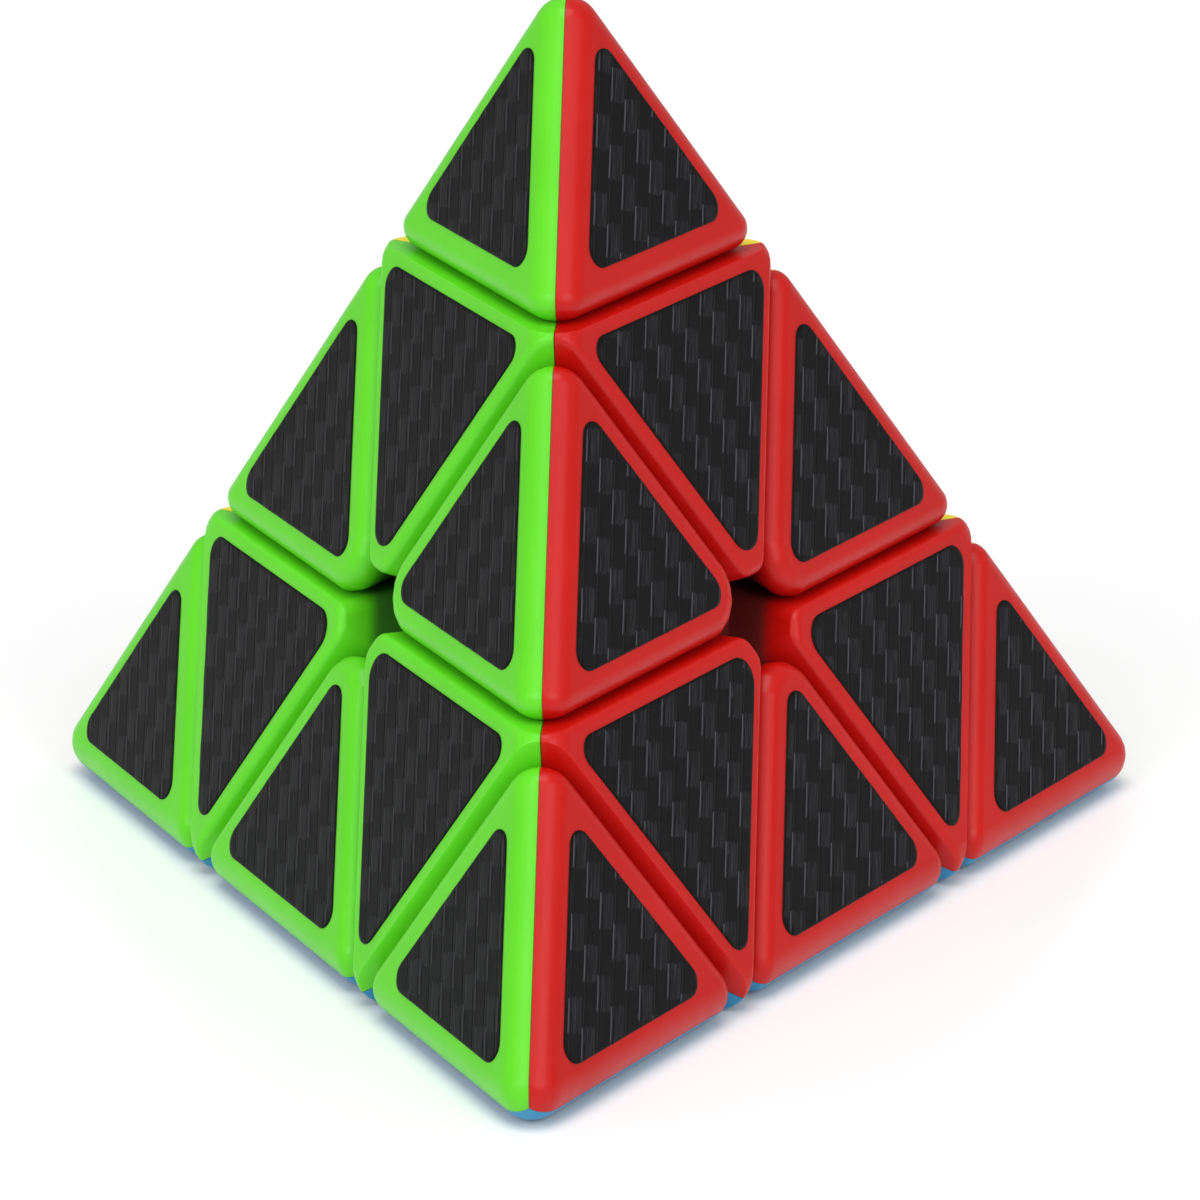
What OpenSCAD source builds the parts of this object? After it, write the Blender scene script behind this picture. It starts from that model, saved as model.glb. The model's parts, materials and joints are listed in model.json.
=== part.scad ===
// Pyramid twisty puzzle: a tetrahedron of four tips, four axials and six edge pieces
// that turn on a four-armed core.
//
// The origin is the middle of the core, where the four turning axes cross, and +Z is the
// axis of the top corner. Corners are numbered 0 top, 1 front, 2 right, 3 left. A face has
// the number of the corner it lies opposite: 0 blue bottom, 1 yellow back, 2 green left
// side, 3 red right side.

/* [Overall] */
// Length of one edge, measured over the rounded corners
edge_len = 98; // [90:1:110]
// Radius of the rounding along the six outer edges
edge_round = 2.9; // [2:0.1:3.4]
// Height of one tip, as a share of the sharp height of the solid
tip_share = 0.348; // [0.342:0.001:0.352]
// Depth of one turning layer, as a share of the sharp height of the solid
layer_share = 0.676; // [0.672:0.001:0.678]
// Gap between pieces that turn past each other
gap = 0.3; // [0.3:0.05:0.5]

/* [Shells] */
// Wall of the coloured shells
wall = 1.9; // [1.5:0.1:2.2]
// Hairline between two coloured shells of one piece
seam = 0.04; // [0.02:0.02:0.1]
// Depth of the bevel where a layer cut meets an axial's face
axial_bevel = 0.5; // [0.2:0.1:0.5]
// Depth of the bevel where the tip cut meets an axial's face
roof_bevel = 0.4; // [0.2:0.1:0.5]
// Depth of the bevel where a layer cut meets an edge piece's face
edge_bevel = 1.5; // [1:0.1:1.6]
// Depth of the bevel around the bottom of a tip
tip_bevel = 1.5; // [1:0.1:1.6]
// Width across the six-sided opening in the middle of each face
opening_w = 7.4; // [6.8:0.2:8]
// How far the opening goes in before it narrows
opening_depth = 6; // [4:0.5:6.5]

/* [Stickers] */
// Thickness of a sticker
sticker_t = 0.35; // [0.3:0.05:0.5]
// Depth of the shallow seat that a sticker lies in
seat_depth = 0.25; // [0.15:0.05:0.25]
// Radius of a sticker's corners
sticker_round = 1.5; // [1:0.1:2]
// Radius of the sticker corner that points at the opening
inner_round = 2.6; // [2:0.1:3]
// Border between a sticker and a sharp outer edge
outer_border = 4.5; // [4:0.1:5]
// Border between an edge piece's sticker and a layer cut
edge_border = 3.6; // [3.2:0.1:4]
// Border between a tip's sticker and the tip cut
tip_border = 4.1; // [3.8:0.1:4.5]
// Border between an axial's sticker and the cuts around it
axial_border = 1.1; // [1:0.05:1.4]

/* [Core] */
// Radius of the ball in the middle of the core
core_r = 4.6; // [4:0.1:4.7]
// Distance from the centre to the inner cuts between the feet
foot_cut = 5; // [4.9:0.05:5]
// Radius of the hollow ball in which the feet of the edge pieces slide
ball_r = 14.6; // [14:0.1:14.7]
// Radius of a core arm
arm_r = 2.9; // [2.4:0.1:2.9]
// Distance from the centre to the end of a core arm
arm_end = 13; // [11:0.5:13]
// Radius of the screw shank
screw_r = 1.2; // [1:0.1:1.4]
// Radius of the screw head
screw_head_r = 2.5; // [2.2:0.1:2.6]
// Height of the screw head
screw_head_h = 1.8; // [1.4:0.1:2.2]
// Outer radius of the washer and of the spring
spring_r = 2.85; // [2.6:0.05:2.9]
// Thickness of the spring wire
wire_d = 0.7; // [0.5:0.1:0.8]
// Length of the fitted spring
spring_len = 5.2; // [4.6:0.2:6]
// Number of turns in the spring
spring_turns = 4; // [3:1:5]

/* [Hub] */
// Outer radius of the hub in an axial
hub_r = 6; // [5.6:0.1:6.2]
// Radius of the bore for the spring and the screw head
hub_bore_r = 3.3; // [3.2:0.05:3.4]
// Distance from the centre to the seat that the spring pushes on
spring_seat = 16; // [15.5:0.5:17]
// Thickness of that seat
spring_seat_t = 2; // [1.5:0.5:2]
// Radius of the post that carries the tip
post_r = 4.3; // [4.2:0.1:4.4]
// Radius of the post's head inside the tip
post_head_r = 5.4; // [5.1:0.1:5.4]
// Thickness of the post's head
post_head_t = 1.6; // [1.2:0.1:1.8]

/* [Hidden] */
$fn = 48;
BIG = 200;
THIRD = 1 / 3;
IN_PLANE = sqrt(8) / 3;
LETTERS = [0, 1, 2, 3];

// sizes of the sharp tetrahedron inside which the rounded solid is cut
sharp_edge = edge_len + (6 * sqrt(2 / 3) - 2) * edge_round;
inradius = sharp_edge * sqrt(6) / 12;
circumradius = 3 * inradius;
face_inradius = sharp_edge / sqrt(12);
height = 4 * inradius;
c = gap / 2;
tip_z = circumradius - tip_share * height;
layer_z = circumradius - layer_share * height;
post_head_z = tip_z + c + wall + gap;
arm_start = arm_r * 1.1;

// unit directions from the centre to the corners
N = [
    [0, 0, 1],
    [0, -IN_PLANE, -THIRD],
    [sqrt(2 / 3), sqrt(2) / 3, -THIRD],
    [-sqrt(2 / 3), sqrt(2) / 3, -THIRD]
];
FACE_COLOR = ["#2f86ae", "#f0dd3a", "#62d834", "#cb221d"];
HUB_COLOR = "#e9e9e4";
CORE_COLOR = "#3b3d42";
STEEL_COLOR = "#b9bcc0";
STICKER_COLOR = "#232327";

function unit(v) = v / norm(v);
function rest_of(a) = [for (i = LETTERS) if (i != a) i];
function rest_of_two(a, b) = [for (i = LETTERS) if (i != a && i != b) i];
function rest_of_three(a, b, d) = [for (i = LETTERS) if (i != a && i != b && i != d) i][0];
// direction in face f from its middle to corner v
function towards(f, v) = unit(N[v] + N[f] * THIRD);
// where a cut square to corner v's axis crosses a face, measured from the face's middle
function on_face(z) = (z - inradius * THIRD) / IN_PLANE;

// ---- building blocks ----------------------------------------------------------------

module turn_z_to(n) {
    rotate([0, acos(n[2]), atan2(n[1], n[0])]) children();
}

// everything on the inner side of the plane n . x = d
module keep(n, d) {
    turn_z_to(n) translate([-BIG / 2, -BIG / 2, d - BIG]) cube(BIG);
}

// everything on the inner side of a bevel of depth t between two planes
module keep_bevel(n1, d1, n2, d2, t) {
    keep(unit(n1 + n2), (d1 + d2) / norm(n1 + n2) - t);
}

// the outer edge between faces f and g, rounded: all that lies inside its flat chord
module keep_chord(f, g) {
    keep(-unit(N[f] + N[g]), (inradius - edge_round) * sqrt(3) + edge_round / sqrt(3));
}

// the round rod that fills the outer edge between faces f and g out to its true radius
module edge_rod(f, g) {
    ends = rest_of_two(f, g);
    rod_len = sharp_edge - 6 * sqrt(2 / 3) * edge_round;
    translate(-unit(N[f] + N[g]) * (inradius - edge_round) * sqrt(3))
        turn_z_to(unit(N[ends[0]] - N[ends[1]]))
            cylinder(h = rod_len, r = edge_round * 0.994, center = true);
}

// the sharp tetrahedron, bevelled to the chord of the rounding at each edge in pairs
module chorded(pairs) {
    intersection() {
        intersection_for (f = LETTERS) keep(-N[f], inradius);
        intersection_for (p = pairs) keep_chord(p[0], p[1]);
    }
}

// the rounded outside of the solid around corner v
module rounded_corner(v) {
    f = rest_of(v);
    pairs = [[f[0], f[1]], [f[1], f[2]], [f[0], f[2]]];
    intersection() {
        chorded(pairs);
        keep(N[v], circumradius - 3 * edge_round + edge_round * THIRD);
    }
    for (p = pairs) edge_rod(p[0], p[1]);
    translate(N[v] * (circumradius - 3 * edge_round)) sphere(r = edge_round * 0.998);
}

// the rounded outside of the solid around the outer edge between faces f and g
module rounded_edge(f, g) {
    chorded([[f, g]]);
    edge_rod(f, g);
}

// the faces moved inwards by the wall
module inner_faces(faces) {
    intersection_for (f = faces) keep(-N[f], inradius - wall);
}

// the third of corner v's pieces that lies behind face f
module colour_third(v, f) {
    sides = rest_of_two(v, f);
    intersection() {
        keep(unit(N[f] - N[sides[0]]), -seam / 2);
        keep(unit(N[f] - N[sides[1]]), -seam / 2);
    }
}

// the half of an edge piece that lies behind face f, with face g on the other side
module colour_half(f, g) {
    keep(unit(N[f] - N[g]), -seam / 2);
}

// the corner of a piece that is cut away at the middle of face f, in direction u
module opening_cut(f, u) {
    intersection() {
        keep(u, opening_w / 2);
        keep(N[f], opening_depth - inradius);
    }
}

// everything further out in direction u than the opening and the wall around it
module beyond_opening(u) {
    keep(-u, -opening_w / 2 - wall);
}

// ---- stickers -----------------------------------------------------------------------

// triangle with rounded corners of the given three radii, the first pointing at angle a
module round_triangle(r_in, radii, a) {
    polygon([
        for (k = [0:2], t = [-60:15:60])
            2 * (r_in - radii[k]) * [cos(a + 120 * k), sin(a + 120 * k)]
            + radii[k] * [cos(a + 120 * k + t), sin(a + 120 * k + t)]
    ]);
}

// puts flat work on face f, with X towards corner v and Z outwards
module on(f, v) {
    x = towards(f, v);
    z = -N[f];
    y = cross(z, x);
    o = z * inradius;
    multmatrix([
        [x[0], y[0], z[0], o[0]],
        [x[1], y[1], z[1], o[1]],
        [x[2], y[2], z[2], o[2]],
        [0, 0, 0, 1]
    ]) children();
}

// one sticker, or with slack above 0 the seat it lies in
module patch(f, v, middle, r_in, a, first_round, slack) {
    radii = [first_round + slack, sticker_round + slack, sticker_round + slack];
    on(f, v)
        translate([middle, 0, -seat_depth])
            linear_extrude(slack > 0 ? BIG / 20 : sticker_t)
                round_triangle(r_in + slack, radii, a);
}

module tip_patch(v, f, slack = 0) {
    start = on_face(tip_z) + tip_border;
    r_in = (2 * (face_inradius - outer_border) - start) / 3;
    patch(f, v, start + r_in, r_in, 0, sticker_round, slack);
}

module axial_patch(v, f, slack = 0) {
    top = on_face(tip_z) - axial_border;
    side = on_face(layer_z) - axial_border;
    r_in = (top + 2 * side) / 3;
    patch(f, v, top - r_in, r_in, 180, inner_round, slack);
}

module edge_patch(a, b, f, slack = 0) {
    far = rest_of_three(a, b, f);
    side = on_face(layer_z) + edge_border;
    r_in = (face_inradius - outer_border - 2 * side) / 3;
    patch(f, far, -(face_inradius - outer_border - r_in), r_in, 0, inner_round, slack);
}

// ---- core ---------------------------------------------------------------------------

module core_spider() {
    color(CORE_COLOR) difference() {
        union() {
            sphere(r = core_r);
            for (n = N)
                turn_z_to(n) translate([0, 0, arm_start]) cylinder(h = arm_end - arm_start, r = arm_r);
        }
        for (n = N) turn_z_to(n) translate([0, 0, core_r]) cylinder(h = BIG, r = screw_r + 0.02);
    }
}

module core_screw() {
    head_z = spring_seat + spring_len + 0.9;
    difference() {
        union() {
            translate([0, 0, core_r + 0.1]) cylinder(h = head_z - core_r - 0.1, r = screw_r);
            translate([0, 0, head_z]) cylinder(h = screw_head_h, r = screw_head_r);
        }
        for (a = [0, 90])
            rotate([0, 0, a])
                translate([-1.6, -0.35, head_z + screw_head_h - 1]) cube([3.2, 0.7, 2]);
    }
}

module core_screws() {
    color(STEEL_COLOR) for (n = N) turn_z_to(n) core_screw();
}

module core_washers() {
    color(STEEL_COLOR)
        for (n = N) turn_z_to(n)
            translate([0, 0, spring_seat + spring_len + 0.2])
                difference() {
                    cylinder(h = 0.6, r = spring_r);
                    translate([0, 0, -1]) cylinder(h = 3, r = screw_r + 0.1);
                }
}

// a round wire wound as a coil: the flat shape is a slice of the wire square to the axis
module spring_coil() {
    coil_r = spring_r - wire_d / 2;
    rise = spring_len - wire_d - 0.2;
    pitch = rise / spring_turns;
    reach = 360 * wire_d / 2 / pitch;
    translate([0, 0, wire_d / 2 + 0.1])
        linear_extrude(
            height = rise, twist = -360 * spring_turns, slices = 10 * spring_turns, $fn = 8
        )
            polygon([
                for (t = [0:45:315])
                    (coil_r + wire_d / 2 * cos(t)) * [cos(reach * sin(t)), sin(reach * sin(t))]
            ]);
}

module core_springs() {
    color(STEEL_COLOR)
        for (n = N) turn_z_to(n)
            translate([0, 0, spring_seat + 0.1]) spring_coil();
}

// ---- tips ---------------------------------------------------------------------------

module tip_shell(v, f) {
    faces = rest_of(v);
    floor_z = tip_z + c;
    color(FACE_COLOR[f]) difference() {
        intersection() {
            rounded_corner(v);
            keep(-N[v], -floor_z);
            intersection_for (g = faces) keep_bevel(-N[v], -floor_z, -N[g], inradius, tip_bevel);
            colour_third(v, f);
        }
        intersection() {
            inner_faces(faces);
            keep(-N[v], -floor_z - wall);
            keep(N[v], circumradius - 2 * edge_round - wall);
        }
        turn_z_to(N[v]) cylinder(h = floor_z + wall + 1, r = post_r + gap);
        tip_patch(v, f, 0.05);
    }
}

module tip_stickers(v) {
    color(STICKER_COLOR) for (f = rest_of(v)) tip_patch(v, f);
}

// ---- axials -------------------------------------------------------------------------

// the part of an axial that is bounded by its layer cuts, outside the ball of feet
module axial_block(v, start_z, side_z) {
    intersection() {
        keep(N[v], tip_z - c);
        keep(-N[v], -start_z);
        intersection_for (g = rest_of(v)) keep(N[g], side_z);
    }
}

module axial_room(v) {
    difference() {
        axial_block(v, layer_z + c, layer_z - c);
        sphere(r = ball_r + c);
    }
    axial_block(v, layer_z + c, foot_cut - c);
    intersection() {
        axial_block(v, foot_cut + c, foot_cut - c);
        sphere(r = ball_r - c);
    }
}

// bevels around the outside of an axial, along its three layer cuts and its tip cut
module axial_bevels(v) {
    faces = rest_of(v);
    intersection() {
        intersection_for (g = faces) keep_bevel(N[v], tip_z - c, -N[g], inradius, roof_bevel);
        intersection_for (g = faces, h = rest_of_two(v, g))
            keep_bevel(N[h], layer_z - c, -N[g], inradius, axial_bevel);
    }
}

module axial_shell(v, f) {
    faces = rest_of(v);
    color(FACE_COLOR[f]) difference() {
        intersection() {
            rounded_corner(v);
            axial_room(v);
            axial_bevels(v);
            colour_third(v, f);
        }
        difference() {
            intersection() {
                inner_faces(faces);
                keep(N[v], tip_z - c - wall);
                keep(-N[v], -layer_z - c - wall);
                intersection_for (g = faces) keep(N[g], foot_cut - c);
                beyond_opening(towards(f, v));
            }
            sphere(r = ball_r + c + wall);
            turn_z_to(N[v]) cylinder(h = BIG, r = hub_r + 1.2);
        }
        turn_z_to(N[v]) cylinder(h = BIG, r = hub_r + 0.02);
        opening_cut(f, towards(f, v));
        axial_patch(v, f, 0.05);
    }
}

// tube on the turning axis: it runs on a core arm, holds the spring and carries the tip
module axial_hub(v) {
    start_z = foot_cut + c;
    color(HUB_COLOR) turn_z_to(N[v]) difference() {
        union() {
            translate([0, 0, start_z]) cylinder(h = tip_z - c - start_z, r = hub_r);
            translate([0, 0, tip_z - c - 1]) cylinder(h = post_head_z - tip_z + c + 1, r = post_r);
            translate([0, 0, post_head_z]) cylinder(h = post_head_t, r = post_head_r);
        }
        cylinder(h = spring_seat - spring_seat_t, r = arm_r + gap);
        cylinder(h = BIG, r = screw_r + 0.5);
        translate([0, 0, spring_seat]) cylinder(h = BIG, r = hub_bore_r);
    }
}

module axial_stickers(v) {
    color(STICKER_COLOR) for (f = rest_of(v)) axial_patch(v, f);
}

// ---- edge pieces --------------------------------------------------------------------

// everything in both layer a and layer b that starts at distance z from the centre
module edge_block(a, b, z) {
    intersection() {
        keep(-N[a], -z);
        keep(-N[b], -z);
    }
}

module edge_room(a, b) {
    intersection() {
        edge_block(a, b, layer_z + c);
        intersection_for (f = rest_of_two(a, b), k = [a, b])
            keep_bevel(-N[k], -layer_z - c, -N[f], inradius, edge_bevel);
    }
    intersection() {
        edge_block(a, b, foot_cut + c);
        sphere(r = ball_r - c);
    }
}

// half of the edge piece between corners a and b, behind face f
module edge_shell(a, b, f) {
    faces = rest_of_two(a, b);
    g = rest_of_three(a, b, f);
    color(FACE_COLOR[f]) difference() {
        intersection() {
            rounded_edge(f, g);
            edge_room(a, b);
            colour_half(f, g);
        }
        difference() {
            intersection() {
                inner_faces(faces);
                edge_block(a, b, layer_z + c + wall);
                beyond_opening(-towards(f, g));
            }
            sphere(r = ball_r + c + wall);
        }
        opening_cut(f, -towards(f, g));
        edge_patch(a, b, f, 0.05);
    }
}

module edge_stickers(a, b) {
    color(STICKER_COLOR) for (f = rest_of_two(a, b)) edge_patch(a, b, f);
}

// ---- assembly -----------------------------------------------------------------------

core_spider();
core_screws();
core_washers();
core_springs();

tip_shell(0, 1);  // tip_top_yellow
tip_shell(0, 2);  // tip_top_green
tip_shell(0, 3);  // tip_top_red
tip_stickers(0);  // tip_top_stickers
tip_shell(1, 0);  // tip_front_blue
tip_shell(1, 2);  // tip_front_green
tip_shell(1, 3);  // tip_front_red
tip_stickers(1);  // tip_front_stickers
tip_shell(2, 0);  // tip_right_blue
tip_shell(2, 1);  // tip_right_yellow
tip_shell(2, 3);  // tip_right_red
tip_stickers(2);  // tip_right_stickers
tip_shell(3, 0);  // tip_left_blue
tip_shell(3, 1);  // tip_left_yellow
tip_shell(3, 2);  // tip_left_green
tip_stickers(3);  // tip_left_stickers

axial_hub(0);  // axial_top_hub
axial_shell(0, 1);  // axial_top_yellow
axial_shell(0, 2);  // axial_top_green
axial_shell(0, 3);  // axial_top_red
axial_stickers(0);  // axial_top_stickers
axial_hub(1);  // axial_front_hub
axial_shell(1, 0);  // axial_front_blue
axial_shell(1, 2);  // axial_front_green
axial_shell(1, 3);  // axial_front_red
axial_stickers(1);  // axial_front_stickers
axial_hub(2);  // axial_right_hub
axial_shell(2, 0);  // axial_right_blue
axial_shell(2, 1);  // axial_right_yellow
axial_shell(2, 3);  // axial_right_red
axial_stickers(2);  // axial_right_stickers
axial_hub(3);  // axial_left_hub
axial_shell(3, 0);  // axial_left_blue
axial_shell(3, 1);  // axial_left_yellow
axial_shell(3, 2);  // axial_left_green
axial_stickers(3);  // axial_left_stickers

edge_shell(0, 1, 2);  // edge_top_front_green
edge_shell(0, 1, 3);  // edge_top_front_red
edge_stickers(0, 1);  // edge_top_front_stickers
edge_shell(0, 2, 1);  // edge_top_right_yellow
edge_shell(0, 2, 3);  // edge_top_right_red
edge_stickers(0, 2);  // edge_top_right_stickers
edge_shell(0, 3, 1);  // edge_top_left_yellow
edge_shell(0, 3, 2);  // edge_top_left_green
edge_stickers(0, 3);  // edge_top_left_stickers
edge_shell(1, 2, 0);  // edge_front_right_blue
edge_shell(1, 2, 3);  // edge_front_right_red
edge_stickers(1, 2);  // edge_front_right_stickers
edge_shell(1, 3, 0);  // edge_front_left_blue
edge_shell(1, 3, 2);  // edge_front_left_green
edge_stickers(1, 3);  // edge_front_left_stickers
edge_shell(3, 2, 0);  // edge_left_right_blue
edge_shell(3, 2, 1);  // edge_left_right_yellow
edge_stickers(3, 2);  // edge_left_right_stickers
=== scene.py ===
"""Pyramid twisty puzzle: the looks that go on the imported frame.

Every moulded shell and every sticker is built here with its true roundings and weave, in
the place the frame gives. The core, its hardware and the hubs stay as the frame has them
and only get their materials. Sizes are in millimetres unless a line says otherwise.
"""

import json
import math

import bmesh
import bpy
import numpy as np
from mathutils import Matrix, Quaternion, Vector


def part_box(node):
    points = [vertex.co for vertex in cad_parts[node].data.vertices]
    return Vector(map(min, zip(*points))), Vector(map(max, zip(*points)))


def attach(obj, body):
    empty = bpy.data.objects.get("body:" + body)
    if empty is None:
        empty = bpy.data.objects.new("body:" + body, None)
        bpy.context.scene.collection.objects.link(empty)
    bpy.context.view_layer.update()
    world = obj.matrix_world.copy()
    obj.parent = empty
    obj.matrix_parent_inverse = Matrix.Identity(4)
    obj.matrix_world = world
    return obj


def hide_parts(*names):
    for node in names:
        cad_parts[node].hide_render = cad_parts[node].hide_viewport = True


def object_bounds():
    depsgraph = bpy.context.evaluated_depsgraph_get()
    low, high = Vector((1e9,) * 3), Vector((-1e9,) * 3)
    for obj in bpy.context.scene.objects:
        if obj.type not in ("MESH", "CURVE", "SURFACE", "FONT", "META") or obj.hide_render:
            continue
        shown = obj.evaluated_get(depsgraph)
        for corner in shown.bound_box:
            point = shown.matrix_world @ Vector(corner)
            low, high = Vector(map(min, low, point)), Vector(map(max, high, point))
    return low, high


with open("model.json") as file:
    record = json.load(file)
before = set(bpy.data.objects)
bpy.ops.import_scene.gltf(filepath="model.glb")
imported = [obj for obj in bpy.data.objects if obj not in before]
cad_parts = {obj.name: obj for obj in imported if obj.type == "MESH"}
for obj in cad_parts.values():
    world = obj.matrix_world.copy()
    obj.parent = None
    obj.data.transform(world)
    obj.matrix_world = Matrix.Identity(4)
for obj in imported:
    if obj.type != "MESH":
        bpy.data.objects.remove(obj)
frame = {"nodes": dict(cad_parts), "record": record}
cad_low, cad_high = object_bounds()

# ---- sizes read from the frame --------------------------------------------------------

MM = 0.001
CORNERS = ["top", "front", "right", "left"]
COLOURS = ["blue", "yellow", "green", "red"]  # the face opposite each corner
EDGES = [(0, 1), (0, 2), (0, 3), (1, 2), (1, 3), (3, 2)]

INRADIUS = -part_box("edge_front_left_blue")[0].z / MM
TIP_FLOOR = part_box("tip_top_red")[0].z / MM
AXIAL_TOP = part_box("axial_top_red")[1].z / MM
HALF_GAP = (TIP_FLOOR - AXIAL_TOP) / 2
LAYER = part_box("axial_front_red")[1].z / MM + HALF_GAP
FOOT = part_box("edge_top_front_red")[0].z / MM - HALF_GAP
HUB_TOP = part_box("axial_top_hub")[1].z / MM
HUB_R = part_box("axial_top_hub")[1].x / MM

# ---- sizes that only the looks have ---------------------------------------------------

BALL_R = 14.6  # hollow in which the feet slide
POST_HEAD_ROOM = 6.0  # radius of the room for the hub's post head inside a tip
POST_ROOM = 4.6  # radius of the hole through a tip's floor for the post itself
POST_FLOOR = 2.0  # from a tip's floor up to the room for the post head
HUB_PLAY = 0.03  # between a hub and the shells around it
OVERLAP = 0.1  # how far two solids of one shell reach into each other
OUTER_ROUND = 2.9  # radius along the outer edges
EDGE_ROUND = 1.8  # radius where a layer cut meets an edge piece's face
AXIAL_ROUND = 0.8  # radius where a layer cut meets an axial's face
FLOOR_ROUND = 1.8  # radius around the bottom of a tip
ROOF_ROUND = 0.8  # radius around the top of an axial
OPENING_R = 3.7  # from a face's middle to the axials around its opening
AXIAL_OPENING_ROUND = 1.8  # upright radius of the axials' corners there
EDGE_OPENING_ROUND = 4.4  # upright radius of the edge pieces' corners there
CRACK = 0.08  # what shows of the gap between two pieces
SEAM = 0.04  # hairline between two colours of one piece
AXIAL_SEAM = 0.08  # the same on an axial
RIM_WIDTH = 0.7  # bevel width for a radius of 1 around an axial's top
FLAT = math.radians(0.7)  # faces closer in angle than this are joined
SHARP = math.radians(38)  # edges steeper than this stay hard

STICKER_TOP = 0.07  # how far a sticker stands out of its shell
STICKER_SKIRT = 0.2  # how far its rim reaches into the shell
STICKER_ROUND = 1.5  # radius of a sticker's corners
AXIAL_INNER_ROUND = 2.0  # an axial sticker's corner next to a face's middle
EDGE_INNER_ROUND = 1.5  # an edge sticker's corner next to it
OUTER_BORDER = 4.5  # from a sticker to the sharp outer edge
EDGE_BORDER = 3.6  # from an edge piece's sticker to its layer cuts
TIP_BORDER = 4.1  # from a tip's sticker to its bottom
AXIAL_BORDER = 1.1  # from an axial's sticker to its cuts
TOW_WIDTH = 1.85  # one tow of the woven look
TOW_PERIOD = 7.0  # length after which a tow comes up again
TOW_SHOWN = 0.47  # share of that length on top
TOW_STEP = 0.318  # how far each tow lags behind its neighbour, as a share of it
TOW_SLANT = 0.05  # how far a tow's ends slope
PAINTED_TOW_SHEEN = [1.0, 1.0, 0.55, 1.0]  # how clearly the tows show on each face: painted sheen from how the light falls, weaker on the green face
RELIEF = 0.05  # height of the tows
RINGS = 48  # rings of faces from a sticker's middle to its rim
RIM_SHADE_RINGS = 2.5  # over how many of them painted shade darkens the film at the rim

# ---- directions -----------------------------------------------------------------------

N = [
    Vector((0, 0, 1)),
    Vector((0, -math.sqrt(8) / 3, -1 / 3)),
    Vector((math.sqrt(2 / 3), math.sqrt(2) / 3, -1 / 3)),
    Vector((-math.sqrt(2 / 3), math.sqrt(2) / 3, -1 / 3)),
]
CORNER_ANGLE = N[0].angle(N[1])


def others(*used):
    return [k for k in range(4) if k not in used]


def towards(face, corner):
    """Direction in a face from its middle to one of its corners."""
    return (N[corner] + N[face] / 3).normalized()


def on_face(z):
    """Where a cut square to a corner's axis crosses a face, measured from its middle."""
    return (z - INRADIUS / 3) / (math.sqrt(8) / 3)


def turn(source, *targets):
    """Rotation that takes the three corners in source to the first target that allows one."""
    start = np.array([N[k] for k in source]).T
    for target in targets:
        end = np.array([N[k] for k in target]).T
        matrix = Matrix((end @ np.linalg.inv(start)).tolist())
        if matrix.determinant() > 0:
            return matrix.to_4x4()


# ---- building blocks ------------------------------------------------------------------


def link(name, data):
    obj = bpy.data.objects.new(name, data)
    bpy.context.scene.collection.objects.link(obj)
    return obj


def cut(bm, normal, distance):
    """Keeps what lies inside a plane and closes the cut."""
    found = bmesh.ops.bisect_plane(
        bm,
        geom=bm.verts[:] + bm.edges[:] + bm.faces[:],
        dist=1e-5,
        plane_co=normal * distance,
        plane_no=normal,
        clear_outer=True,
    )
    rim = [e for e in found["geom_cut"] if isinstance(e, bmesh.types.BMEdge)]
    if rim:
        bmesh.ops.edgenet_fill(bm, edges=rim)
        bm.normal_update()


def applied(bm, *modifiers):
    """The mesh that a bmesh becomes under a list of (type, settings)."""
    bmesh.ops.recalc_face_normals(bm, faces=bm.faces[:])
    raw = bpy.data.meshes.new("raw")
    bm.to_mesh(raw)
    bm.free()
    obj = link("raw", raw)
    for kind, settings in modifiers:
        modifier = obj.modifiers.new(kind, kind)
        for key, value in settings.items():
            setattr(modifier, key, value)
    graph = bpy.context.evaluated_depsgraph_get()
    done = bpy.data.meshes.new_from_object(obj.evaluated_get(graph))
    bpy.data.objects.remove(obj)
    bpy.data.meshes.remove(raw)
    return done


def from_mesh(mesh):
    bm = bmesh.new()
    bm.from_mesh(mesh)
    bpy.data.meshes.remove(mesh)
    return bm


def rounded_tetrahedron(radius, steps=8):
    """Hull of a ball in each corner, its centres fixed by the real outer rounding."""
    bm = bmesh.new()
    for v in range(4):
        middle = N[v] * 3 * (INRADIUS - OUTER_ROUND)
        a, b, c = (-N[f] for f in others(v))
        for i in range(steps + 1):
            for j in range(steps + 1 - i):
                shares = (i / steps, j / steps, (steps - i - j) / steps)
                wa, wb, wc = (math.sin(s * CORNER_ANGLE) for s in shares)
                way = (a * wa + b * wb + c * wc).normalized()
                bm.verts.new(middle + way * radius)
    return hulled(bm)


def hulled(bm):
    bmesh.ops.convex_hull(bm, input=bm.verts)
    bmesh.ops.dissolve_limit(bm, angle_limit=FLAT, verts=bm.verts, edges=bm.edges)
    bmesh.ops.recalc_face_normals(bm, faces=bm.faces[:])
    return bm


def fan(first, second, radius, steps=5):
    """Planes that round the edge between two planes (normal, distance)."""
    (n1, d1), (n2, d2) = first, second
    cosine = n1.dot(n2)
    a, b = d1 - radius, d2 - radius
    axis = n1 * (a - b * cosine) + n2 * (b - a * cosine)
    axis /= 1 - cosine * cosine
    ways = [n1.slerp(n2, i / steps) for i in range(1, steps)]
    return [(way, way.dot(axis) + radius) for way in ways]


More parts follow.
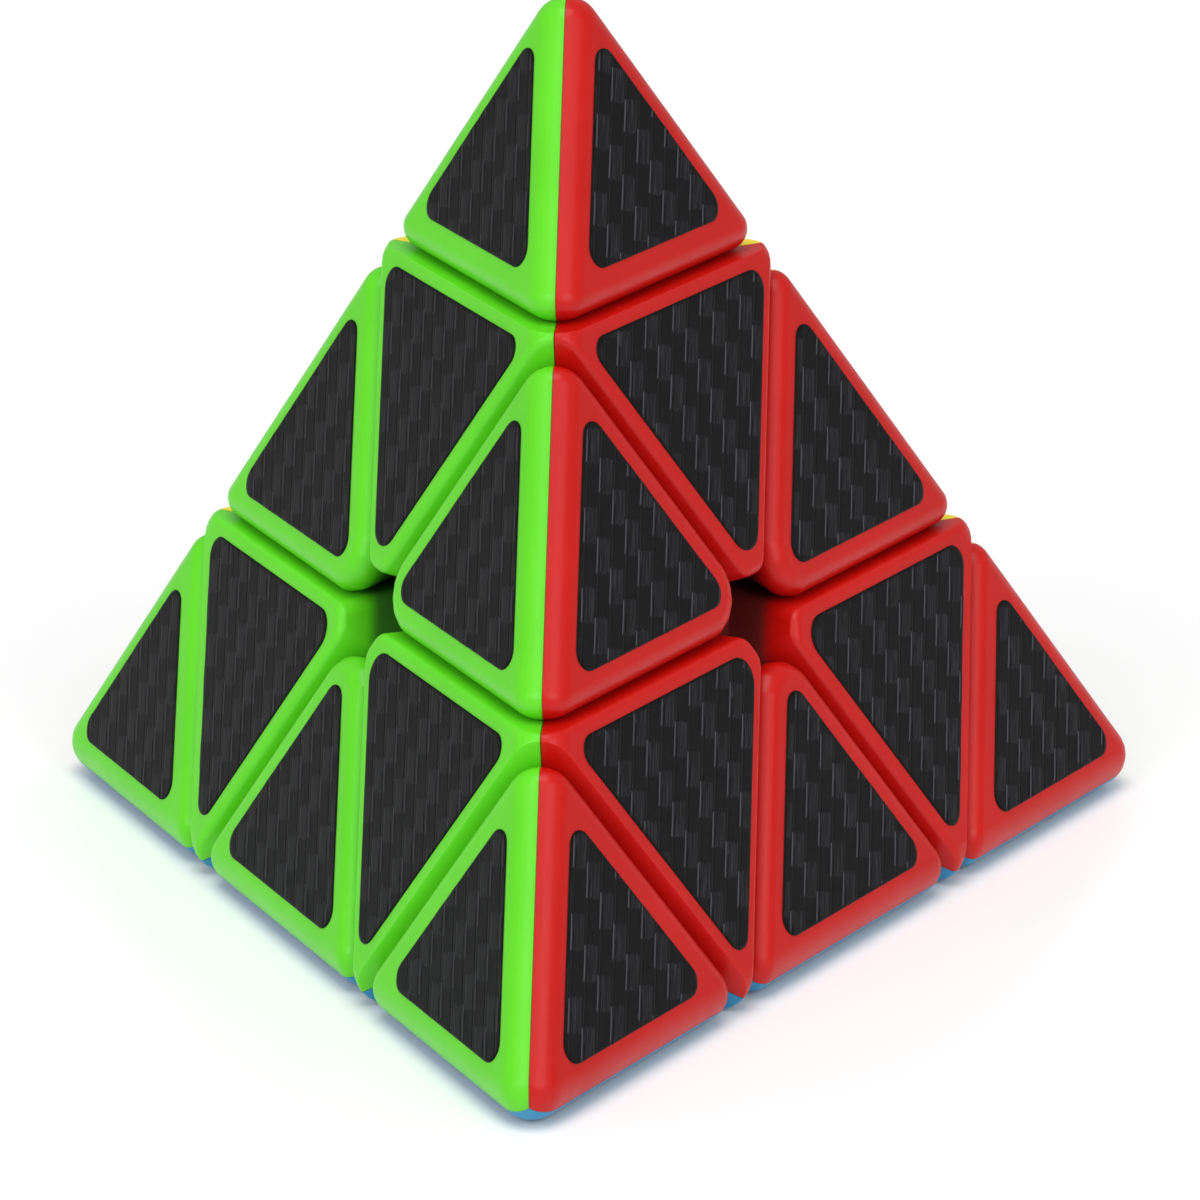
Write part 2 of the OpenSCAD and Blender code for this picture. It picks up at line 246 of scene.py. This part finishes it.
def grown(bm, radius, step=math.radians(13)):
    """Everything within radius of a convex solid: the hull of a ball patch on each corner."""
    bmesh.ops.recalc_face_normals(bm, faces=bm.faces[:])
    bm.normal_update()
    out = bmesh.new()
    for vert in bm.verts:
        middle = sum((f.normal for f in vert.link_faces), Vector()).normalized()
        spread = max(middle.angle(f.normal) for f in vert.link_faces)
        rings = max(1, math.ceil(spread / step))
        for edge in vert.link_edges:
            n1, n2 = (f.normal for f in edge.link_faces)
            count = max(1, math.ceil(n1.angle(n2) / step))
            for i in range(count + 1):
                rim = n1.slerp(n2, i / count)
                for j in range(rings + 1):
                    out.verts.new(vert.co + middle.slerp(rim, j / rings) * radius)
    bm.free()
    bmesh.ops.remove_doubles(out, verts=out.verts, dist=1e-4)
    return hulled(out)


def piece_block(planes, radius):
    """The rounded solid inside planes (normal, distance), with that radius at its cuts."""
    bm = rounded_tetrahedron(OUTER_ROUND - radius)
    for normal, distance in planes:
        cut(bm, normal, distance - radius)
    return grown(bm, radius)


def with_rim(bm, normal, distance, radius):
    """Cuts a solid by a plane and rounds the rim of the cut."""
    cut(bm, normal, distance)
    weight = bm.edges.layers.float.new("bevel_weight_edge")
    on_plane = [f for f in bm.faces if f.normal.dot(normal) > 0.9999]
    for edge in {e for f in on_plane for e in f.edges}:
        edge[weight] = 1.0
    bevel = {"width": radius * RIM_WIDTH, "limit_method": "WEIGHT", "segments": 3}
    return from_mesh(applied(bm, ("BEVEL", bevel)))


def ball(radius):
    bm = bmesh.new()
    bmesh.ops.create_uvsphere(bm, u_segments=96, v_segments=48, radius=radius)
    return bm


def drum(radius, low, high):
    bm = bmesh.new()
    bmesh.ops.create_cone(
        bm,
        cap_ends=True,
        segments=64,
        radius1=radius,
        radius2=radius,
        depth=high - low,
        matrix=Matrix.Translation((0, 0, (low + high) / 2)),
    )
    return bm


def without(bm, *tools):
    """The solid with closed tools taken out of it."""
    helpers = []
    for tool in tools:
        mesh = bpy.data.meshes.new("tool")
        tool.to_mesh(mesh)
        tool.free()
        helpers.append(link("tool", mesh))
    steps = [
        ("BOOLEAN", {"object": h, "operation": "DIFFERENCE", "solver": "EXACT"})
        for h in helpers
    ]
    done = from_mesh(applied(bm, *steps))
    for helper in helpers:
        bpy.data.objects.remove(helper)
    return done


def shell_mesh(name, *solids):
    """One smooth-shaded mesh of several closed solids, its hard edges kept."""
    whole = bmesh.new()
    for solid in solids:
        mesh = bpy.data.meshes.new("one")
        solid.to_mesh(mesh)
        solid.free()
        whole.from_mesh(mesh)
        bpy.data.meshes.remove(mesh)
    bmesh.ops.remove_doubles(whole, verts=whole.verts, dist=1e-4)
    for vert in whole.verts:
        vert.co *= MM
    for face in whole.faces:
        face.smooth = True
        face.material_index = 0
    for edge in whole.edges:
        edge.smooth = len(edge.link_faces) == 2 and edge.calc_face_angle() < SHARP
    weighted = {"keep_sharp": True, "weight": 100}
    mesh = applied(whole, ("WEIGHTED_NORMAL", weighted))
    mesh.name = name
    return mesh


# ---- the three shells, each built once ------------------------------------------------


def third(solids, seam):
    """Cuts the solids of a corner piece down to the part behind the red face."""
    for bm in solids:
        for g in (1, 2):
            cut(bm, (N[3] - N[g]).normalized(), -seam / 2)
    return solids


def tip_third():
    (block,) = third([piece_block([(-N[0], -TIP_FLOOR)], FLOOR_ROUND)], SEAM)
    neck = drum(POST_ROOM, TIP_FLOOR - 5, TIP_FLOOR + POST_FLOOR + 0.2)
    room = drum(POST_HEAD_ROOM, TIP_FLOOR + POST_FLOOR, HUB_TOP + 0.4)
    return shell_mesh("tip_third", without(block, neck, room))


def axial_third():
    side = LAYER + HALF_GAP - CRACK
    planes = [(-N[0], -LAYER - HALF_GAP)] + [(N[k], side) for k in (1, 2, 3)]
    for k in (1, 2, 3):
        opening = (-towards(k, 0), -OPENING_R)
        planes.append(opening)
        for g in others(0, k):
            planes += fan(opening, (N[g], side), AXIAL_OPENING_ROUND)
    block = with_rim(piece_block(planes, AXIAL_ROUND), N[0], TIP_FLOOR - CRACK, ROOF_ROUND)

    sides = [(N[k], FOOT - HALF_GAP) for k in (1, 2, 3)]
    column, heel = ball(BALL_R + HALF_GAP + OVERLAP), ball(BALL_R - HALF_GAP)
    for bm, start in ((column, LAYER), (heel, FOOT)):
        for normal, distance in [(-N[0], -start - HALF_GAP), *sides]:
            cut(bm, normal, distance)
    block, column, heel = third([block, column, heel], AXIAL_SEAM)
    bore = HUB_R + HUB_PLAY
    block = without(block, ball(BALL_R + HALF_GAP), drum(bore, 0, AXIAL_TOP + 5))
    column = without(column, drum(bore, 0, AXIAL_TOP))
    heel = without(heel, drum(bore, 0, AXIAL_TOP))
    return shell_mesh("axial_third", block, column, heel)


def edge_half():
    planes = [(-N[k], -LAYER - HALF_GAP) for k in (0, 1)]
    planes += fan(*planes, EDGE_OPENING_ROUND)
    block = piece_block(planes, EDGE_ROUND)
    foot = ball(BALL_R - HALF_GAP)
    for k in (0, 1):
        cut(foot, -N[k], -FOOT - HALF_GAP)
    for bm in (block, foot):
        cut(bm, (N[3] - N[2]).normalized(), -SEAM / 2)
    return shell_mesh("edge_half", block, foot)


# ---- stickers -------------------------------------------------------------------------


def weave_axes(face):
    """Directions on a face along its upright tows and across them."""
    up, down = {0: (1, 2), 1: (0, 2), 2: (0, 1), 3: (0, 1)}[face]
    along = (N[down] - N[up]).normalized()
    across = N[face].cross(along)
    if across.dot(towards(face, others(face, up, down)[0])) < 0:
        across = -across
    return along, across


def weave_height(u, v):
    """Relief from 0 to 1 of a twill, u counted in tows across and v in periods along."""
    across = np.mod(u, 1)
    along = np.mod(v - TOW_STEP * np.floor(u) + TOW_SLANT * across, 1) / TOW_SHOWN
    crown = np.clip(across * 8, 0, 1) * (1 - across * across)
    rise = np.clip(1 - np.abs(2 * along - 1) ** 4, 0, 1) * (along < 1)
    return crown * rise


def rounded_triangle(r_in, inner_round, angle):
    """Outline of a triangle whose first corner points at angle, its sides subdivided."""
    arc_steps, side_steps = 9, 40
    points = []
    for k, r in enumerate((inner_round, STICKER_ROUND, STICKER_ROUND)):
        a = angle + math.radians(120 * k)
        middle = 2 * (r_in - r) * np.array((math.cos(a), math.sin(a)))
        for t in np.linspace(-60, 60, arc_steps):
            b = a + math.radians(t)
            points.append(middle + r * np.array((math.cos(b), math.sin(b))))
    outline = []
    for p, q in zip(points, points[1:] + points[:1]):
        count = max(1, round(float(np.linalg.norm(q - p)) / (3.46 * r_in) * side_steps))
        outline += [p + (q - p) * i / count for i in range(count)]
    return np.array(outline)


def ring_faces(count):
    """Faces of a fan of rings with count points each, from the middle out, and its back."""
    faces = [(0, 1 + i, 1 + (i + 1) % count) for i in range(count)]
    for r in range(RINGS):
        a = 1 + r * count
        for i in range(count):
            j = (i + 1) % count
            faces.append((a + i, a + count + i, a + count + j, a + j))
    faces.append(tuple(1 + RINGS * count + i for i in reversed(range(count))))
    return faces


def sticker(face, corner, middle, r_in, angle, inner_round):
    """One sticker's points, faces, weave coordinates and painted light (sheen per face, shade
    at the rim), its middle on the face.
    """
    outline = rounded_triangle(r_in, inner_round, angle)
    count = len(outline)
    x_axis, z_axis = towards(face, corner), -N[face]
    y_axis = z_axis.cross(x_axis)
    flat = [[[0, 0]]] + [outline * s for s in np.linspace(0, 1, RINGS + 1)[1:]]
    flat = np.concatenate(flat)
    place = (flat[:, :1] + middle) * np.array(x_axis) + flat[:, 1:] * np.array(y_axis)
    along, across = weave_axes(face)
    u, v = place @ np.array(across) / TOW_WIDTH, place @ np.array(along) / TOW_PERIOD
    ring = np.concatenate([[0], np.repeat(np.arange(1, RINGS + 1), count)])
    lip = np.clip(RINGS - ring, 0, 1)
    height = (STICKER_TOP + RELIEF * weave_height(u, v)) * (0.6 + 0.4 * lip)
    top = place + (INRADIUS + height)[:, None] * np.array(z_axis)
    skirt = place[-count:] + (INRADIUS - STICKER_SKIRT) * np.array(z_axis)
    uv = np.stack([np.append(u, u[-count:]), np.append(v, v[-count:])], axis=1)
    painted_light = np.zeros((len(uv), 3))
    # painted sheen of the tows on this face
    painted_light[:, 0] = PAINTED_TOW_SHEEN[face]
    # painted shade at the rim: 0 on the outermost ring, 1 further in
    painted_light[: len(lip), 1] = np.clip((RINGS - ring) / RIM_SHADE_RINGS, 0, 1)
    return np.concatenate([top, skirt]) * MM, ring_faces(count), uv, painted_light


def tip_sticker(v, f):
    start = on_face(TIP_FLOOR - HALF_GAP) + TIP_BORDER
    r_in = (2 * (math.sqrt(2) * INRADIUS - OUTER_BORDER) - start) / 3
    return sticker(f, v, start + r_in, r_in, 0, STICKER_ROUND)


def axial_sticker(v, f):
    top = on_face(TIP_FLOOR - HALF_GAP) - AXIAL_BORDER
    r_in = (top + 2 * (on_face(LAYER) - AXIAL_BORDER)) / 3
    return sticker(f, v, top - r_in, r_in, math.pi, AXIAL_INNER_ROUND)


def edge_sticker(a, b, f):
    (far,) = others(a, b, f)
    outer = math.sqrt(2) * INRADIUS - OUTER_BORDER
    r_in = (outer - 2 * (on_face(LAYER) + EDGE_BORDER)) / 3
    return sticker(f, far, r_in - outer, r_in, 0, EDGE_INNER_ROUND)


def sticker_mesh(name, parts):
    """One mesh of several stickers, with their weave coordinates and painted light."""
    starts = np.cumsum([0] + [len(p[0]) for p in parts])
    verts = np.concatenate([p[0] for p in parts])
    uv = np.concatenate([p[2] for p in parts])
    painted_light = np.concatenate([p[3] for p in parts])
    faces = [
        tuple(int(i + s) for i in face) for s, p in zip(starts, parts) for face in p[1]
    ]
    mesh = bpy.data.meshes.new(name)
    mesh.from_pydata(verts.tolist(), [], faces)
    mesh.polygons.foreach_set("use_smooth", [True] * len(faces))
    loops = np.empty(len(mesh.loops), dtype=np.int32)
    mesh.loops.foreach_get("vertex_index", loops)
    mesh.uv_layers.new(name="weave").data.foreach_set("uv", uv[loops].ravel())
    attribute = mesh.attributes.new("painted_light", "FLOAT_VECTOR", "POINT")
    attribute.data.foreach_set("vector", painted_light.ravel())
    return mesh


# ---- materials ------------------------------------------------------------------------


class Shader:
    """A material on which sockets are chained from Python."""

    def __init__(self, name):
        self.material = bpy.data.materials.new(name)
        self.material.use_nodes = True
        self.tree = self.material.node_tree
        self.surface = self.tree.nodes["Principled BSDF"]

    def node(self, kind, values=None, **settings):
        node = self.tree.nodes.new(kind)
        for key, value in settings.items():
            setattr(node, key, value)
        for key, value in (values or {}).items():
            self.give(node.inputs[key], value)
        return node

    def give(self, socket, value):
        if isinstance(value, bpy.types.NodeSocket):
            self.tree.links.new(value, socket)
        else:
            socket.default_value = value

    def set(self, **values):
        for key, value in values.items():
            self.give(self.surface.inputs[key.replace("_", " ")], value)

    def math(self, operation, *values):
        node = self.node("ShaderNodeMath", operation=operation)
        for socket, value in zip(node.inputs, values):
            self.give(socket, value)
        return node.outputs[0]

    def vector_math(self, operation, *values):
        node = self.node("ShaderNodeVectorMath", operation=operation)
        for socket, value in zip(node.inputs, values):
            self.give(socket, value)
        return node.outputs["Value"]

    def mix(self, share, a, b):
        """Colour a where share is 0 and b where it is 1."""
        node = self.node("ShaderNodeMix", data_type="RGBA")
        self.give(node.inputs[0], share)
        self.give(node.inputs[6], a)
        self.give(node.inputs[7], b)
        return node.outputs[2]

    def ramp(self, value, low, high, to_low=0.0, to_high=1.0):
        """A smooth step of value between low and high."""
        node = self.node("ShaderNodeMapRange", interpolation_type="SMOOTHSTEP")
        for socket, given in zip(node.inputs, (value, low, high, to_low, to_high)):
            self.give(socket, given)
        return node.outputs[0]

    def band(self, value, start, full, fading, end):
        """1 between full and fading, 0 outside start and end."""
        rise = self.ramp(value, start, full)
        return self.math("MULTIPLY", rise, self.ramp(value, fading, end, 1.0, 0.0))

    def noise(self, vector, scale, detail=2.0):
        values = {"Vector": vector, "Scale": scale, "Detail": detail}
        return self.node("ShaderNodeTexNoise", values).outputs[0]

    def bump(self, height, distance, strength=1.0):
        values = {"Height": height, "Distance": distance, "Strength": strength}
        self.set(Normal=self.node("ShaderNodeBump", values).outputs[0])


def rgb(code):
    """Linear colour of an sRGB hex code."""
    parts = [int(code[i : i + 2], 16) / 255 for i in (0, 2, 4)]
    linear = [c / 12.92 if c <= 0.04045 else ((c + 0.055) / 1.055) ** 2.4 for c in parts]
    return (*linear, 1.0)


def scaled(colour, factor, lift=0.0):
    return (*(c * factor + lift for c in colour[:3]), 1.0)


def opening_shade_mask(s, where):
    """Mask of painted shade: 1 deep inside the opening at a face's middle, 0 everywhere else.
    """
    height = 0.0
    for normal in N:
        dot = s.vector_math("DOT_PRODUCT", where, tuple(-normal))
        height = s.math("MAXIMUM", height, dot)
    length = s.vector_math("LENGTH", where)
    squares = [s.math("MULTIPLY", x, x) for x in (length, height)]
    aside = s.math("SQRT", s.math("MAXIMUM", s.math("SUBTRACT", *squares), 0.0))
    face = INRADIUS * MM
    deep = s.ramp(height, face - 0.0042, face - 0.0026, 1.0, 0.0)
    return s.math("MULTIPLY", deep, s.ramp(aside, 0.0085, 0.0105, 1.0, 0.0))


def plastic(name, code, roughness, grain, depth):
    """Moulded plastic with a fine grain and painted shade deep inside a face's opening."""
    s = Shader(name)
    where = s.node("ShaderNodeTexCoord").outputs["Object"]
    colour = s.mix(s.ramp(s.noise(where, 90.0), 0.3, 0.7), scaled(rgb(code), 0.93), rgb(code))
    # where shade is painted into the opening
    inside = opening_shade_mask(s, where)
    s.set(
        # painted shade: deep in the opening the colour drops to 0.3 of the shell's, plus a
        # little grey
        Base_Color=s.mix(inside, colour, scaled(rgb(code), 0.3, 0.016)),
        Roughness=s.ramp(s.noise(where, 400.0), 0.3, 0.7, roughness - 0.03, roughness + 0.04),
        Specular_IOR_Level=0.3,
        Subsurface_Weight=0.35,
        Subsurface_Radius=(1.0, 1.0, 1.0),
        Subsurface_Scale=0.0016,
    )
    s.bump(s.noise(where, grain), depth)
    return s.material


def streaks(s, x, y, scale):
    """Noise drawn out along the tows or across them."""
    place = s.node("ShaderNodeCombineXYZ", {"X": x, "Y": y})
    stretched = s.node("ShaderNodeVectorMath", operation="MULTIPLY")
    s.give(stretched.inputs[0], place.outputs[0])
    s.give(stretched.inputs[1], (*scale, 1.0))
    return s.noise(stretched.outputs[0], 1.0, 3.0)


def split(s, vector):
    node = s.node("ShaderNodeSeparateXYZ")
    s.give(node.inputs[0], vector)
    return node.outputs


def weave(s, u, v):
    """Where a tow lies on top, its fibres, the bright line and the dark slit at its side."""
    across, column = s.math("FRACT", u), s.math("FLOOR", u)
    ragged = s.math("SUBTRACT", streaks(s, u, v, (7.0, 3.0)), 0.5)
    ragged = s.math("MULTIPLY", ragged, 0.1)
    lag = s.math("MULTIPLY", column, -TOW_STEP)
    lag = s.math("ADD", lag, s.math("MULTIPLY", across, TOW_SLANT))
    along = s.math("ADD", s.math("ADD", v, lag), ragged)
    along = s.math("FLOORED_MODULO", along, 1.0)
    shown = s.band(along, 0.0, 0.03, TOW_SHOWN - 0.04, TOW_SHOWN)
    shown = s.math("MULTIPLY", shown, s.ramp(across, 0.86, 1.0, 1.0, 0.25))
    line = s.band(across, 0.02, 0.06, 0.08, 0.14)
    slit = s.band(across, 0.13, 0.17, 0.22, 0.29)
    slit = s.math("MULTIPLY", slit, s.ramp(along, 0.16, 0.22))
    return shown, streaks(s, u, v, (13.0, 2.0)), line, slit


def film():
    """Sticker film: a dark twill whose tows come up as streaked lozenges."""
    s = Shader("woven_film")
    uv = split(s, s.node("ShaderNodeUVMap", uv_map="weave").outputs[0])
    painted_light = s.node("ShaderNodeAttribute", attribute_name="painted_light").outputs["Vector"]
    u, v = uv[0], uv[1]
    # painted sheen of this face's tows and the share of painted shade at the rim
    tow_sheen, lip, _ = split(s, painted_light)
    shown, fibres, line, slit = weave(s, u, v)
    body = s.mix(s.ramp(fibres, 0.44, 0.7), rgb("0f0f11"), rgb("2d2d31"))
    body = s.mix(line, body, rgb("47474c"))
    body = s.mix(slit, body, rgb("050506"))
    threads = s.ramp(streaks(s, v, u, (60.0, 1.0)), 0.35, 0.7)
    ground = s.mix(threads, rgb("09090b"), rgb("0f0f12"))
    # painted sheen: how brightly the tows show is scaled per face by how the light falls
    base = s.mix(s.math("MULTIPLY", shown, tow_sheen), ground, body)
    s.set(
        # painted shade: the film turns near-black at its rim
        Base_Color=s.mix(lip, rgb("020202"), base),
        Roughness=s.ramp(fibres, 0.3, 0.7, 0.42, 0.55),
        Specular_IOR_Level=0.12,
    )
    relief = s.math("ADD", s.math("MULTIPLY", fibres, 0.5), 0.6)
    s.bump(s.math("SUBTRACT", s.math("MULTIPLY", shown, relief), slit), 0.00005, 0.7)
    return s.material


def metal(name, code, roughness):
    """Plated steel with faint drawing marks."""
    s = Shader(name)
    where = s.node("ShaderNodeTexCoord").outputs["Object"]
    marks = s.noise(where, 900.0, 4.0)
    s.set(
        Base_Color=s.mix(marks, rgb(code), scaled(rgb(code), 0.8)),
        Metallic=1.0,
        Roughness=s.ramp(marks, 0.3, 0.7, roughness, roughness + 0.12),
    )
    s.bump(marks, 0.00001)
    return s.material


def floor_paper():
    """White studio floor with a faint gloss."""
    s = Shader("studio_floor")
    where = s.node("ShaderNodeTexCoord").outputs["Object"]
    s.set(
        Base_Color=s.mix(s.noise(where, 3.0), rgb("f7f8f8"), rgb("fbfbfb")),
        Roughness=0.22,
        Specular_IOR_Level=0.35,
    )
    return s.material


MATERIALS = {
    "blue_shell": plastic("blue_abs", "3089b4", 0.34, 2500.0, 0.0000015),
    "yellow_shell": plastic("yellow_abs", "f2dc1e", 0.34, 2500.0, 0.0000015),
    "green_shell": plastic("green_abs", "5ecd1f", 0.34, 2500.0, 0.0000015),
    "red_shell": plastic("red_abs", "ba0c05", 0.38, 3200.0, 0.000012),
    "hub_plastic": plastic("hub_white", "e9e9e4", 0.4, 2500.0, 0.00001),
    "core_plastic": plastic("core_grey", "3b3d42", 0.45, 2500.0, 0.00001),
    "sticker_film": film(),
    "steel": metal("zinc_plate", "c4c6ca", 0.28),
    "spring_steel": metal("bright_wire", "b9bcc0", 0.2),
}
SLOTS = {s["node"]: s["material_slot"] for s in frame["record"]["subparts"]}


def finish(obj, slot):
    obj.data.materials.clear()
    obj.data.materials.append(MATERIALS[slot])


# ---- the pieces in their places -------------------------------------------------------


def place(mesh, node, body):
    """Shows a mesh in place of a frame node, on that node's body and with its slot."""
    obj = link("look_" + node, mesh)
    finish(obj, SLOTS[node])
    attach(obj, body)
    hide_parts(node)
    return obj


def turned(mesh, matrix):
    copy = mesh.copy()
    copy.transform(matrix)
    return copy


def build_corners(kind, shell, one_sticker):
    """The tips or the axials: three coloured shells and their stickers on each."""
    for v in range(4):
        body = f"{kind}_{CORNERS[v]}"
        for f in others(v):
            a, b = others(v, f)
            node = f"{body}_{COLOURS[f]}"
            matrix = turn((0, 3, 1), (v, f, a), (v, f, b))
            place(turned(shell, matrix), node, body)
        parts = [one_sticker(v, f) for f in others(v)]
        node = f"{body}_stickers"
        place(sticker_mesh(node, parts), node, body)


def build_edges(shell):
    for a, b in EDGES:
        body = f"edge_{CORNERS[a]}_{CORNERS[b]}"
        for f in others(a, b):
            node = f"{body}_{COLOURS[f]}"
            matrix = turn((0, 1, 3), (a, b, f), (b, a, f))
            place(turned(shell, matrix), node, body)
        parts = [edge_sticker(a, b, f) for f in others(a, b)]
        node = f"{body}_stickers"
        place(sticker_mesh(node, parts), node, body)


build_corners("tip", tip_third(), tip_sticker)
build_corners("axial", axial_third(), axial_sticker)
build_edges(edge_half())
for node, obj in frame["nodes"].items():
    if not obj.hide_render:
        finish(obj, SLOTS[node])


# ---- studio ---------------------------------------------------------------------------

ROOM_LIGHT = 0.46
LIGHTS = [  # name, azimuth, elevation and strength
    ("overhead", -4, 78, 1.45),
    ("left_box", -32, 28, 1.1),
    ("right_box", 38, 28, 1.05),
]
LIGHT_SPREAD = math.radians(38)
FLOOR_DROP = 0.0001  # metres between the puzzle and the floor

def build_floor():
    bm = bmesh.new()
    bmesh.ops.create_grid(bm, x_segments=1, y_segments=1, size=6.0)
    mesh = bpy.data.meshes.new("floor")
    bm.to_mesh(mesh)
    bm.free()
    floor = link("floor", mesh)
    floor.location.z = cad_low.z - FLOOR_DROP
    mesh.materials.append(floor_paper())


def sky_light(name, azimuth, elevation, strength):
    """A wide soft light from an azimuth and elevation in degrees."""
    data = bpy.data.lights.new(name, "SUN")
    data.energy = strength
    data.angle = LIGHT_SPREAD
    light = link(name, data)
    light.rotation_euler = (-direction(azimuth, elevation)).to_track_quat("-Z", "Y").to_euler()


def direction(azimuth, elevation):
    """Unit vector from the object, with azimuth 0 at the front and 90 at the right."""
    a, e = math.radians(azimuth), math.radians(elevation)
    return Vector((math.sin(a) * math.cos(e), -math.cos(a) * math.cos(e), math.sin(e)))


def build_lights():
    world = bpy.data.worlds.new("studio")
    bpy.context.scene.world = world
    world.use_nodes = True
    background = world.node_tree.nodes["Background"]
    background.inputs["Color"].default_value = (1.0, 1.0, 1.0, 1.0)
    background.inputs["Strength"].default_value = ROOM_LIGHT
    for light in LIGHTS:
        sky_light(*light)


def build_camera():
    """A long lens a little to the right of the front edge, seen from slightly above."""
    azimuth, elevation, distance = 3.985, 19.025, 607.9 * MM
    aim = Vector((2.22, 1.6, 4.3)) * MM
    roll = math.radians(-0.6)
    data = bpy.data.cameras.new("camera")
    data.sensor_width = 36.0
    data.lens = 206.6
    data.clip_end = 20.0
    camera = link("camera", data)
    way = direction(azimuth, elevation)
    camera.location = aim + way * distance
    look = (-way).to_track_quat("-Z", "Y") @ Quaternion((0, 0, 1), roll)
    camera.rotation_euler = look.to_euler()
    bpy.context.scene.camera = camera


build_floor()
build_lights()
build_camera()
bpy.context.scene.view_settings.view_transform = "Standard"
